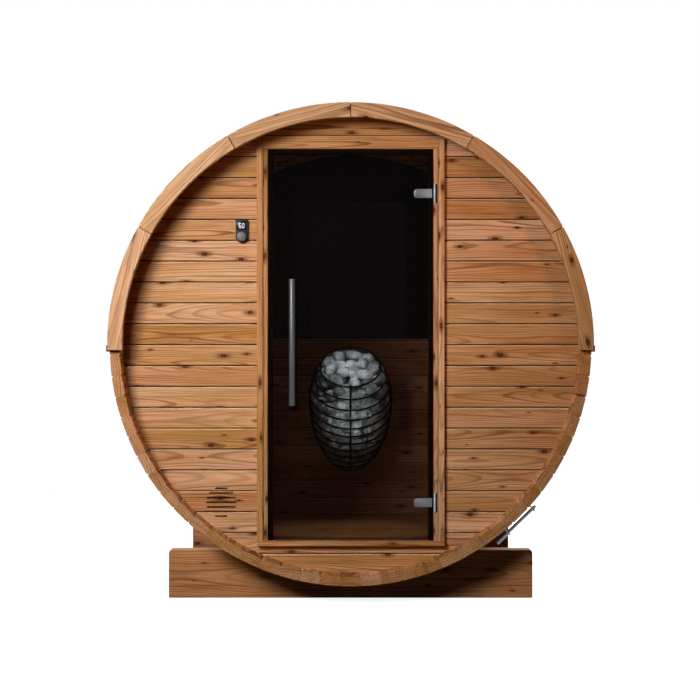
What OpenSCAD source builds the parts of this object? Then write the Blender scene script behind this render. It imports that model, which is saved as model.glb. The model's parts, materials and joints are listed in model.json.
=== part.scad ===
// Barrel sauna: a lying barrel of tongue-and-groove staves on two cradle beams,
// with a framed glass door in front and a half-moon window in the rear wall.
// The origin is on the ground under the middle of the barrel. +X is to the right
// as seen from the front, the front faces -Y and +Z is up.
// Heights of the walls, door and heater are measured from the barrel's axis.

/* [Barrel] */
// Outer radius of the barrel, to the corners of its staves
barrel_r = 1000; // [990:5:1040]
// Thickness of the staves
stave_t = 42; // [38:1:46]
// Length of the staves
stave_len = 1800; // [1700:50:2400]
// Number of staves around the barrel
stave_n = 72; // [64:8:80]
// Length of the tongue along each stave
tongue_len = 8; // [5:0.5:10]
// Width of the tongue at its root
tongue_w = 13; // [10:0.5:16]
// Chamfer along the edges of the staves
stave_chamfer = 5; // [1:0.5:6]

/* [End walls and floor] */
// Thickness of the end walls
wall_t = 42; // [36:1:50]
// How far the staves run past each end wall
overhang = 120; // [100:5:200]
// Depth of the groove in the staves that takes an end wall
croze = 10; // [6:1:14]
// Drop of the floor's top below the underside of the sill
floor_step = 26; // [20:1:32]
// Thickness of the floor boards
floor_t = 28; // [20:1:32]

/* [Vent] */
// Number of slots in the vent
vent_n = 7; // [5:2:7]
// Radius of the circle that the slots fill
vent_r = 64; // [62:1:75]
// Spacing of the slots
vent_pitch = 19.5; // [18:0.5:20]
// Height of one slot
vent_slot_h = 8; // [5:0.5:9]
// Gap between the vent and the door frame
vent_side = 87; // [60:1:100]
// Gap between the vent and the barrel
vent_edge = 35; // [25:1:60]

/* [Door frame] */
// Width of the opening between the jambs as a share of the barrel's width
opening_share = 0.349; // [0.33:0.001:0.352]
// How far the frame's upper corners run up into the curve of the barrel
head_bite = 5; // [0:1:6]
// Gap between the sill's lower corners and the curve of the barrel
sill_gap = 30; // [20:1:40]
// Width of one jamb as seen from the front
jamb_w = 45; // [40:1:50]
// Width of the jamb's set-back inner strip
jamb_step_w = 20; // [16:1:24]
// How far the inner strip is set back
jamb_step = 8; // [6:1:10]
// How far the frame stands out of the wall
frame_proud = 25; // [22:1:30]
// How far the frame runs on behind the wall
frame_back = 33; // [20:1:40]
// Height of the head
head_h = 52; // [40:1:54]
// Height of the sill
sill_h = 19; // [16:1:24]
// How far the sill stands out of the wall
sill_proud = 40; // [30:1:45]
// Width of the strips that the door closes against
stop_w = 20; // [15:1:25]

/* [Door] */
// Gap around the door
door_gap = 5; // [5:0.5:7]
// Thickness of the door's glass
glass_t = 8; // [6:1:10]
// Distance of the upper hinge from the top of the opening
hinge_top_in = 188; // [120:1:250]
// Distance of the lower hinge from the bottom of the opening
hinge_low_in = 161; // [120:1:250]
// Height of one hinge
hinge_h = 80; // [70:1:100]
// Radius of the hinge knuckles
knuckle_r = 5.5; // [5:0.5:6]
// Radius of the hinge pin
pin_r = 3; // [2.5:0.25:3.5]
// Length of the hinge's tongue plate from the pin
tongue_plate_len = 87; // [80:1:100]
// Height of the hinge's tongue plate
tongue_plate_h = 38; // [34:1:38]
// Length of the bar handle
handle_len = 530; // [400:5:600]
// Diameter of the bar handle
handle_d = 30; // [24:1:34]
// Distance of the handle from the free edge of the door
handle_in = 99; // [70:1:130]
// Height of the handle's middle above the axis
handle_z = 12; // [0:1:40]
// Gap between the handles and the glass
handle_gap = 33; // [28:1:38]
// Diameter of the wooden grip on the inside
grip_d = 36; // [30:1:40]

/* [Rear window] */
// Width of the beads that hold the window
bead_w = 20; // [16:1:30]
// Height of the sill bead
bead_sill_h = 12; // [10:1:30]
// Thickness of the window's glass
window_t = 8; // [6:1:12]

/* [Fascia and roof] */
// Width of the arched fascia
fascia_w = 62; // [56:1:70]
// Thickness of the fascia
fascia_t = 40; // [30:1:45]
// Fascia boards on each side
fascia_n = 3; // [2:1:4]
// Angle by which the fascia runs on below the axis
fascia_under = 1.2; // [0:0.1:2]
// Gap between two fascia boards
fascia_gap = 4; // [1:0.5:6]
// Chamfer of the fascia's edges
fascia_chamfer = 3; // [1:0.5:5]
// Thickness of the roof covering
roof_t = 3.8; // [3:0.1:5]
// Height of the drip edge
drip_h = 26; // [22:1:40]
// Thickness of the drip edge
drip_t = 9; // [6:1:12]

/* [Cradles and bands] */
// Length of a cradle beam
cradle_len = 1560; // [1400:10:1700]
// Height of a cradle beam
cradle_h = 205; // [180:1:240]
// Thickness of a cradle beam
cradle_t = 90; // [70:1:110]
// Height of the beam that is left under the barrel
cradle_web = 86; // [70:1:100]
// Distance of a cradle's outer face from the end of the staves
cradle_inset = 257; // [240:1:340]
// Chamfer of a cradle's upper corners
cradle_chamfer = 8; // [4:1:15]
// Width of a tension band
band_w = 28; // [20:1:36]
// Thickness of a tension band
band_t = 0.8; // [0.6:0.1:1]
// Distance of a band's middle from the end of the staves
band_inset = 150; // [140:1:180]
// Angle of the tensioners below the axis, at the right
tensioner_angle = 46; // [40:0.5:55]
// Distance between the lugs of a tensioner
lug_span = 150; // [130:2:200]
// Diameter of the threaded rod
rod_d = 10; // [8:0.5:12]

/* [Heater] */
// Largest radius of the egg-shaped basket
egg_r = 200; // [180:5:210]
// Height of the egg above its widest ring
egg_up = 286; // [270:1:300]
// Depth of the egg below its widest ring
egg_depth = 457; // [440:1:480]
// Lean of the basket towards the door
egg_tilt = 40; // [30:1:42]
// Height of the widest ring's middle above the floor
egg_rise = 598; // [570:1:640]
// Distance of the widest ring's middle from the rear wall
egg_back = 353; // [350:1:420]
// Number of rings
ring_n = 12; // [9:1:15]
// Height of the top ring above the widest one
ring_top = 199; // [180:1:210]
// Depth of the lowest ring below the widest one
ring_bottom = 400; // [380:1:410]
// Diameter of the ring wire
wire_d = 8; // [5:0.5:9]
// Number of ribs inside the rings
rib_n = 4; // [4:4:8]
// Width of the ribs
rib_w = 10; // [6:0.5:12]
// Height of the heap of stones above the top ring
heap_h = 40; // [20:5:60]

/* [Control panel] */
// Width of the control panel
panel_w = 51; // [48:1:60]
// Height of the control panel
panel_h = 102; // [96:1:120]
// Thickness of the control panel
panel_t = 18; // [14:1:24]
// Gap between the panel and the door frame
panel_side = 38.5; // [30:0.5:60]
// Height of the panel's middle above the axis
panel_z = 481; // [400:1:500]
// Diameter of the control knob
knob_d = 39; // [34:0.5:40]
// Thickness of the control knob
knob_t = 14; // [10:1:18]

/* [Hidden] */
// Steps around small rounds, and around everything as large as the barrel
$fn = 96;
barrel_fn = 360;

// Gap between pieces that lie side by side
fit = 0.4;
// Gap under curved pieces that lie on the barrel
lay = 0.2;
// Radial play of a pin in its bore
play = 0.05;

// How far a cut runs past the faces it opens
cut = 1;

// Groups of staves, counted from the top towards the left
group_n = 8;
per_group = stave_n / group_n;
stave_step = 360 / stave_n;
half_step = stave_step / 2;
apothem_out = barrel_r * cos(half_step);
apothem_in = apothem_out - stave_t;
tongue_mid = (apothem_out + apothem_in) / 2;
tongue_taper = 3;
tongue_tip_w = tongue_w - tongue_taper;

axis_z = barrel_r + cradle_web;
end_y = stave_len / 2;
wall_y = end_y - overhang;
wall_in_y = wall_y - wall_t;
croze_r = apothem_in + croze;
wall_r = croze_r - fit;
inside_r = apothem_in - fit;

jamb_in = round(barrel_r * opening_share);
jamb_out = jamb_in + jamb_w;
jamb_mid = jamb_in + jamb_step_w;
frame_chord = floor(sqrt(pow(apothem_in, 2) - pow(jamb_out, 2)));
frame_top = frame_chord + head_bite;
opening_top = frame_top - head_h;
sill_low = frame_chord - sill_gap;
opening_drop = sill_low - sill_h;
floor_drop = sill_low + floor_step;
frame_y = -wall_y - frame_proud;
jamb_y = frame_y + jamb_step;
frame_back_y = -wall_in_y + frame_back;
sill_y = -wall_y - sill_proud;

vent_x = jamb_out + vent_side + vent_r;
vent_drop = sqrt(pow(apothem_in - vent_edge - vent_r, 2) - pow(vent_x, 2));

glass_y = jamb_y;
glass_back_y = glass_y + glass_t;
glass_half = jamb_in - door_gap;
handle_x = glass_half - handle_in;
stop_y = glass_back_y + door_gap;
hinge_in = 4;
hinge_x = jamb_in + hinge_in;
knuckle_gap = 0.5;
hinge_y = jamb_y - knuckle_r - knuckle_gap;
knuckle_half = tongue_plate_h / 2;
plate_t = 6;
plate_gap = 1.5;
plate_y = jamb_y - plate_gap - plate_t;
leaf_t = 3;
leaf_edge = 1;
leaf_reach = 10;
tip_r = 14;
pad_in = 19;
clamp_len = 55;
clamp_t = 4;
standoff_r = 8;
standoff_in = 60;

roof_in_r = barrel_r + band_t + 2 * lay;
roof_r = roof_in_r + roof_t;
fascia_r = roof_r;
fascia_in_r = fascia_r - fascia_w;
fascia_angle = (90 + fascia_under) / fascia_n;
fascia_y = -end_y - fascia_t;

cradle_y = end_y - cradle_inset;
band_y = end_y - band_inset;
band_in_r = barrel_r + lay;
band_r = band_in_r + band_t;
lug_t = 6;
lug_h = 46;
lug_foot = sqrt(pow(band_r, 2) - pow(lug_span / 2 - lug_t, 2)) + lay;
rod_lift = 34;
rod_r = lug_foot + rod_lift;
rod_end = 16;
nut_t = 8;
nut_d = 18;
sleeve_d = 21;
sleeve_len = 62;
band_open = asin((lug_span / 2 - lug_t) / band_r);

ring_step = (ring_top + ring_bottom) / (ring_n - 1);
wire_r = wire_d / 2;
rib_depth = 5;
stone_in = wire_r + rib_depth + 2 * lay;
egg_y = wall_in_y - egg_back;
egg_drop = floor_drop - egg_rise;
bracket_t = 6;
bracket_w = 220;
bracket_h = 260;
bracket_sink = 110;
arm_t = 16;

panel_x = jamb_out + panel_side + panel_w / 2;
knob_z = panel_z - panel_h / 2 + panel_w / 2;
panel_corner = 8;
panel_y = -wall_y - panel_t;
spindle_r = 3;
spindle_len = 9;
knob_gap = 1;

timber = "#c08a5c";
end_timber = "#cf9a69";
dark_timber = "#8c5c39";
steel = "#b9bbbd";
black = "#1d1d1f";
tinted = "#2a1d16a0";
stone = "#8b8c8c";

// Shared shapes

// A point turned about the origin
function turn(p, angle) = [p.x * cos(angle) - p.y * sin(angle), p.x * sin(angle) + p.y * cos(angle)];

// A drawing of the front view, drawn about the axis, made solid from y backwards
module front_view(y, depth) {
  translate([0, y + depth, axis_z])
    rotate([90, 0, 0])
      linear_extrude(depth)
        children();
}

// A round disc about the barrel's axis
module disc(r, y, depth) {
  translate([0, y + depth, axis_z])
    rotate([90, 0, 0])
      cylinder(r = r, h = depth, $fn = barrel_fn);
}

// A block between two x, two y and two z values, with z counted from the axis
module block(x, y, z) {
  translate([x[0], y[0], axis_z + z[0]])
    cube([x[1] - x[0], y[1] - y[0], z[1] - z[0]]);
}

// A round bar along Y
module bar_y(x, z, r, y, len) {
  translate([x, y + len, axis_z + z])
    rotate([90, 0, 0])
      cylinder(r = r, h = len);
}

// A round bar along Z
module bar_z(x, y, r, z, len) {
  translate([x, y, axis_z + z])
    cylinder(r = r, h = len);
}

// Staves

// Distance from the axis at which a line beside a joint meets a flat face of the stave
function face_y(x, apothem) = (apothem - x * sin(half_step)) / cos(half_step);

// One long edge of a stave, from its outer to its inner face, drawn in the plane of the joint
function stave_edge(side, reach, root_w, tip_w) = let(s = fit / 2, c = s + stave_chamfer) [
  [side * c, face_y(c, apothem_out)],
  [side * s, face_y(s, apothem_out) - stave_chamfer],
  [side * s, tongue_mid + root_w / 2],
  [-reach, tongue_mid + tip_w / 2],
  [-reach, tongue_mid - tip_w / 2],
  [side * s, tongue_mid - root_w / 2],
  [side * s, face_y(s, apothem_in) + stave_chamfer],
  [side * c, face_y(c, apothem_in)]
];

// Outline of the stave at the top: a tongue at the left, a groove at the right
function stave_outline() = let(
  tongue = stave_edge(1, tongue_len, tongue_w, tongue_tip_w),
  groove = stave_edge(-1, tongue_len + fit, tongue_w + 2 * fit, tongue_tip_w + 2 * fit)
) concat(
  [for (p = tongue) turn(p, half_step)],
  [for (i = [len(groove) - 1 : -1 : 0]) turn(groove[i], -half_step)]
);

// Grooves around the inside of the staves that take the end walls
module crozes() {
  for (y = [-wall_y, wall_in_y])
    disc(croze_r, y - fit, wall_t + 2 * fit);
}

module staves(group) {
  color(timber)
    difference() {
      for (i = [0 : per_group - 1])
        front_view(-end_y, stave_len)
          rotate((group * per_group + i - (per_group - 1) / 2) * stave_step)
            polygon(stave_outline());
      crozes();
    }
}

// End walls and floor

module front_wall_side(side) {
  far = side * croze_r;
  near = side * jamb_out;
  intersection() {
    disc(wall_r, -wall_y, wall_t);
    block([min(far, near), max(far, near)], [-wall_y, -wall_in_y], [-croze_r, croze_r]);
  }
}

// The vent: slots as long as the chords of one circle
module vent_slots() {
  for (i = [-(vent_n - 1) / 2 : (vent_n - 1) / 2]) {
    z = -vent_drop + i * vent_pitch;
    half = sqrt(pow(vent_r, 2) - pow(i * vent_pitch, 2)) - vent_slot_h / 2;
    slot_r = vent_slot_h / 2;
    block([-vent_x - half, -vent_x + half], [-wall_y - cut, cut - wall_in_y], [z - slot_r, z + slot_r]);
    for (end = [-half, half])
      bar_y(end - vent_x, z, slot_r, -wall_y - cut, wall_t + 2 * cut);
  }
}

module front_wall_left() {
  color(timber)
    difference() {
      front_wall_side(-1);
      vent_slots();
    }
}

module front_wall_right() {
  color(timber)
    front_wall_side(1);
}

// The part of the front wall over or under the door frame
module front_wall_middle(z) {
  color(timber)
    intersection() {
      disc(wall_r, -wall_y, wall_t);
      block([-jamb_out, jamb_out], [-wall_y, -wall_in_y], z);
    }
}

module rear_wall() {
  color(timber)
    intersection() {
      disc(wall_r, wall_in_y, wall_t);
      block([-croze_r, croze_r], [wall_in_y, wall_y], [-croze_r, 0]);
    }
}

module floor_deck() {
  color(dark_timber)
    intersection() {
      disc(inside_r, -wall_in_y, 2 * wall_in_y);
      block([-croze_r, croze_r], [-wall_in_y, wall_in_y], [-floor_drop - floor_t, -floor_drop]);
    }
}

// Rear window

module half_moon(r, sill, y, depth) {
  intersection() {
    disc(r, y, depth);
    block([-croze_r, croze_r], [y, y + depth], [sill, croze_r]);
  }
}

module rear_window_glass() {
  color(tinted)
    half_moon(wall_r, fit, wall_in_y + (wall_t - window_t) / 2, window_t);
}

// Inner and outer bead, each a half ring with a straight sill
module rear_window_beads() {
  bead_t = (wall_t - window_t) / 2;
  color(timber)
    for (y = [wall_in_y, wall_y - bead_t])
      difference() {
        half_moon(wall_r, 0, y, bead_t);
        half_moon(apothem_in - bead_w, bead_sill_h, y - cut, bead_t + 2 * cut);
      }
}

// Door frame

// What the frame keeps inside the barrel
module inside_barrel() {
  intersection() {
    disc(inside_r, sill_y, frame_back_y - sill_y);
    children();
  }
}

module door_jamb(side) {
  far = side * jamb_out;
  mid = side * jamb_mid;
  near = side * jamb_in;
  color(timber)
    inside_barrel()
      union() {
        block([min(far, mid), max(far, mid)], [frame_y, frame_back_y], [-opening_drop, frame_top]);
        block([min(mid, near), max(mid, near)], [jamb_y, frame_back_y], [-opening_drop, opening_top]);
      }
}

module door_head() {
  color(timber)
    inside_barrel()
      block([-jamb_mid, jamb_mid], [jamb_y, frame_back_y], [opening_top, frame_top]);
}

module door_sill() {
  color(timber)
    inside_barrel()
      block([-jamb_out, jamb_out], [sill_y, frame_back_y], [-sill_low, -opening_drop]);
}

// Strips at both sides and at the top that the door closes against
module door_stops() {
  color(dark_timber) {
    for (x = [[-jamb_in, stop_w - jamb_in], [jamb_in - stop_w, jamb_in]])
      block(x, [stop_y, frame_back_y], [-opening_drop, opening_top]);
    block([stop_w + fit - jamb_in, jamb_in - stop_w - fit], [stop_y, frame_back_y],
          [opening_top - stop_w, opening_top]);
  }
}

// Door

// Places of the two hinges above the axis
hinge_places = [opening_top - hinge_top_in, hinge_low_in - opening_drop];

// On the jamb: a leaf, two outer knuckles and the pin of each hinge
module door_hinge_brackets() {
  outer = hinge_h / 2;
  inner = knuckle_half + fit;
  leaf_x = hinge_x + leaf_reach;
  leaf_y = [jamb_y - leaf_t, jamb_y];
  color(steel)
    for (z = hinge_places) {
      block([hinge_x + knuckle_r + leaf_edge, leaf_x], leaf_y, [z - outer, z + outer]);
      for (low = [-outer, inner]) {
        block([hinge_x, leaf_x], leaf_y, [z + low, z + low + outer - inner]);
        bar_z(hinge_x, hinge_y, knuckle_r, z + low, outer - inner);
      }
      bar_z(hinge_x, hinge_y, pin_r, z - outer, hinge_h);
    }
}

// Outline of a tongue plate about the hinge's middle height, with round corners at its tip
module tongue_plate(z) {
  tip = hinge_x - tongue_plate_len;
  corner = knuckle_half - tip_r;
  block([tip + tip_r, hinge_x], [plate_y, plate_y + plate_t], [z - knuckle_half, z + knuckle_half]);
  block([tip, tip + tip_r + cut], [plate_y, plate_y + plate_t], [z - corner, z + corner]);
  for (side = [-1, 1])
    bar_y(tip + tip_r, z + side * corner, tip_r, plate_y, plate_t);
}

// On the door: a middle knuckle, a tongue plate, and a pad behind the glass
module door_hinge_clamps() {
  pad_x = [hinge_x - tongue_plate_len + pad_in, hinge_x - tongue_plate_len + pad_in + clamp_len];
  color(steel)
    for (z = hinge_places) {
      difference() {
        union() {
          bar_z(hinge_x, hinge_y, knuckle_r, z - knuckle_half, tongue_plate_h);
          tongue_plate(z);
          block(pad_x, [plate_y, glass_y], [z - knuckle_half, z + knuckle_half]);
        }
        bar_z(hinge_x, hinge_y, pin_r + play, z - knuckle_half - cut, tongue_plate_h + 2 * cut);
      }
      block(pad_x, [glass_back_y, glass_back_y + clamp_t], [z - knuckle_half, z + knuckle_half]);
    }
}

module door_glass() {
  color(tinted)
    block([-glass_half, glass_half], [glass_y, glass_back_y],
          [door_gap - opening_drop, opening_top - door_gap]);
}

// Heights of the two standoffs of the handles
standoff_places = [handle_z - handle_len / 2 + standoff_in, handle_z + handle_len / 2 - standoff_in];

// Steel bar in front of the glass, on two standoffs
module door_handle() {
  bar_y_mid = glass_y - handle_gap - handle_d / 2;
  color(steel)
    union() {
      bar_z(-handle_x, bar_y_mid, handle_d / 2, handle_z - handle_len / 2, handle_len);
      for (z = standoff_places)
        bar_y(-handle_x, z, standoff_r, bar_y_mid, glass_y - bar_y_mid);
    }
}

// Wooden bar behind the glass, on the same two fixings
module door_inner_grip() {
  grip_y_mid = glass_back_y + handle_gap + grip_d / 2;
  color(dark_timber)
    union() {
      bar_z(-handle_x, grip_y_mid, grip_d / 2, handle_z - handle_len / 2, handle_len);
      for (z = standoff_places)
        bar_y(-handle_x, z, standoff_r, glass_back_y, grip_y_mid - glass_back_y);
    }
}

// Fascia and roof

// One fascia board, from a start angle upwards, with chamfered front edges
module fascia_board(start, angle) {
  c = fascia_chamfer;
  rotate([0, 0, start])
    rotate_extrude(angle = angle, $fn = barrel_fn)
      polygon([
        [fascia_in_r, 0],
        [fascia_r, 0],
        [fascia_r, fascia_t - c],
        [fascia_r - c, fascia_t],
        [fascia_in_r + c, fascia_t],
        [fascia_in_r, fascia_t - c]
      ]);
}

// The boards of the right half of the front fascia
module fascia_half() {
  gap_angle = fascia_gap / fascia_r * 180 / PI;
  color(end_timber)
    translate([0, -end_y, axis_z])
      rotate([90, 0, 0])
        for (i = [0 : fascia_n - 1])
          fascia_board(i * fascia_angle - fascia_under + gap_angle / 2, fascia_angle - gap_angle);
}

// Sheet bent over the upper half of the barrel
module roof_covering() {
  color(black)
    translate([0, end_y, axis_z])
      rotate([90, 0, 0])
        rotate([0, 0, -fascia_under])
          rotate_extrude(angle = 180 + 2 * fascia_under, $fn = barrel_fn)
            translate([roof_in_r, 0])
              square([roof_t, stave_len]);
}

// Black profile along the right lower edge of the roof covering
module drip_edge() {
  edge_z = -roof_r * sin(fascia_under) - lay;
  lip = 5;
  low = edge_z - lip;
  color(black)
    front_view(-end_y, stave_len)
      polygon([
        [roof_in_r, low],
        [roof_r + drip_t, low],
        [roof_r + drip_t, low + drip_h],
        [roof_r + lay, low + drip_h],
        [roof_r + lay, edge_z],
        [roof_in_r, edge_z]
      ]);
}

// Cradles and bands

module cradle() {
  half = cradle_len / 2;
  c = cradle_chamfer;
  color(timber)
    difference() {
      translate([0, cradle_t - cradle_y, 0])
        rotate([90, 0, 0])
          linear_extrude(cradle_t)
            polygon([
              [-half, 0],
              [half, 0],
              [half, cradle_h - c],
              [half - c, cradle_h],
              [c - half, cradle_h],
              [-half, cradle_h - c]
            ]);
      disc(barrel_r + lay, -cradle_y - cut, cradle_t + 2 * cut);
    }
}

// Steel band around the staves, open under its tensioner
module tension_band() {
  color(steel)
    translate([0, band_w / 2 - band_y, axis_z])
      rotate([90, 0, 0])
        rotate([0, 0, band_open - tensioner_angle])
          rotate_extrude(angle = 360 - 2 * band_open, $fn = barrel_fn)
            translate([band_in_r, 0])
              square([band_t, band_w]);
}

// Two lugs on the band's ends, drawn together by a threaded rod with a spring sleeve and a nut
module tensioner() {
  lug_mid = (lug_span - lug_t) / 2;
  rod_low = -lug_span / 2 - sleeve_len;
  color(steel)
    translate([0, -band_y, axis_z])
      rotate([0, tensioner_angle, 0])
        union() {
          for (z = [-lug_mid, lug_mid])
            translate([lug_foot, -band_w / 2, z - lug_t / 2])
              cube([lug_h, band_w, lug_t]);
          translate([rod_r, 0, lug_span / 2])
            cylinder(r = nut_d / 2, h = nut_t, $fn = 6);
          translate([rod_r, 0, rod_low])
            cylinder(r = sleeve_d / 2, h = sleeve_len);
          translate([rod_r, 0, rod_low])
            cylinder(r = rod_d / 2, h = lug_span / 2 + rod_end - rod_low);
        }
}

// Heater

// Radius of the basket at a height s above its widest ring, and how much it slopes there
function egg_half(s) = s > 0 ? egg_up : egg_depth;
function egg_radius(s) = egg_r * sqrt(1 - pow(s / egg_half(s), 2));
function egg_slope(s) = pow(egg_r / egg_half(s), 2) * s / egg_radius(s);

// Radius of a line that keeps a distance from the middle of the ring wire, inwards if it is negative
function beside_egg(s, distance) = egg_radius(s) + distance * sqrt(1 + pow(egg_slope(s), 2));

// Places of the rings along the basket's axis
ring_places = [for (i = [0 : ring_n - 1]) ring_top - i * ring_step];

// Half a ring step apart, from the lowest ring to the top one
rib_places = [for (i = [0 : 2 * (ring_n - 1)]) i * ring_step / 2 - ring_bottom];

// What is drawn along the basket's own axis
module on_egg() {
  translate([0, egg_y, axis_z - egg_drop])
    rotate([egg_tilt, 0, 0])
      children();
}

module heater_rings() {
  color(black)
    on_egg()
      for (s = ring_places)
        translate([0, 0, s])
          rotate_extrude()
            translate([egg_radius(s), 0])
              circle(r = wire_r, $fn = 32);
}

module heater_ribs() {
  outer = wire_r + lay;
  last = len(rib_places) - 1;
  outline = concat(
    [for (s = rib_places) [beside_egg(s, -outer), s]],
    [for (i = [last : -1 : 0]) [beside_egg(rib_places[i], -outer - rib_depth), rib_places[i]]]
  );
  color(black)
    on_egg()
      for (i = [0 : rib_n - 1])
        rotate([90, 0, i * 360 / rib_n])
          translate([0, 0, -rib_w / 2])
            linear_extrude(rib_w)
              polygon(outline);
}

// Heap of stones as one body: the basket's filling and a dome on top
module heater_stones() {
  top_r = beside_egg(ring_top, -stone_in);
  dome_n = 6;
  color(stone)
    on_egg()
      rotate_extrude()
        polygon(concat(
          [[0, -ring_bottom]],
          [for (s = rib_places) [beside_egg(s, -stone_in), s]],
          [for (i = [1 : dome_n - 1]) [top_r * cos(i * 90 / dome_n), ring_top + heap_h * sin(i * 90 / dome_n)]],
          [[0, ring_top + heap_h]]
        ));
}

// Wall plate behind the lower half of the basket, with four arms that carry it
module heater_bracket() {
  back_y = wall_in_y - bracket_t;
  low = -egg_drop - bracket_sink - bracket_h / 2;
  high = low + bracket_h;
  color(black)
    difference() {
      union() {
        block([-bracket_w / 2, bracket_w / 2], [back_y, wall_in_y], [low, high]);
        for (x = [-bracket_w / 2, bracket_w / 2 - arm_t])
          for (z = [low, high - arm_t])
            block([x, x + arm_t], [egg_y + egg_r / 2, back_y + cut], [z, z + arm_t]);
      }
      on_egg()
        rotate_extrude()
          polygon(concat(
            [[0, -egg_depth]],
            [for (s = rib_places) [beside_egg(s, wire_r + lay), s]],
            [[0, ring_top + heap_h]]
          ));
    }
}

// Control panel

// Plate with a round lower end, chamfered upper corners and a spindle for the knob
module control_panel() {
  half = panel_w / 2;
  top = panel_z + panel_h / 2;
  color(black)
    union() {
      front_view(panel_y, panel_t)
        polygon([
          [-panel_x - half, knob_z],
          [half - panel_x, knob_z],
          [half - panel_x, top - panel_corner],
          [half - panel_corner - panel_x, top],
          [panel_corner - half - panel_x, top],
          [-panel_x - half, top - panel_corner]
        ]);
      bar_y(-panel_x, knob_z, half, panel_y, panel_t);
      bar_y(-panel_x, knob_z, spindle_r, panel_y - spindle_len, spindle_len);
    }
}

module control_knob() {
  back_y = panel_y - knob_gap;
  color(steel)
    difference() {
      bar_y(-panel_x, knob_z, knob_d / 2, back_y - knob_t, knob_t);
      bar_y(-panel_x, knob_z, spindle_r + play, panel_y - spindle_len - cut, spindle_len + cut);
    }
}

// Pieces

staves(0);  // staves_top
staves(1);  // staves_upper_left
staves(2);  // staves_left
staves(3);  // staves_lower_left
staves(4);  // staves_bottom
staves(5);  // staves_lower_right
staves(6);  // staves_right
staves(7);  // staves_upper_right
front_wall_left();
front_wall_right();
front_wall_middle([frame_top, croze_r]);  // front_wall_top
front_wall_middle([-croze_r, -sill_low]);  // front_wall_bottom
rear_wall();
rear_window_glass();
rear_window_beads();
floor_deck();  // floor
door_jamb(-1);  // door_jamb_left
door_jamb(1);  // door_jamb_right
door_head();
door_sill();
door_stops();
door_hinge_brackets();
door_glass();
door_handle();
door_inner_grip();
door_hinge_clamps();
mirror([1, 0, 0]) fascia_half();  // front_fascia_left
fascia_half();  // front_fascia_right
mirror([1, 0, 0]) mirror([0, 1, 0]) fascia_half();  // rear_fascia_left
mirror([0, 1, 0]) fascia_half();  // rear_fascia_right
roof_covering();
mirror([1, 0, 0]) drip_edge();  // roof_drip_edge_left
drip_edge();  // roof_drip_edge_right
cradle();  // front_cradle
mirror([0, 1, 0]) cradle();  // rear_cradle
tension_band();  // front_tension_band
mirror([0, 1, 0]) tension_band();  // rear_tension_band
tensioner();  // front_tensioner
mirror([0, 1, 0]) tensioner();  // rear_tensioner
heater_rings();
heater_ribs();
heater_stones();
heater_bracket();
control_panel();
control_knob();
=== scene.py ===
# %% [markdown]
# # Barrel sauna
# The CAD model holds every solid piece of the sauna at its real size and place. This lesson
# dresses it: it cuts the wall boards, eases the edges of the timber, fills the heater with
# single stones and gives each piece the finish that the real one has.

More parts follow.
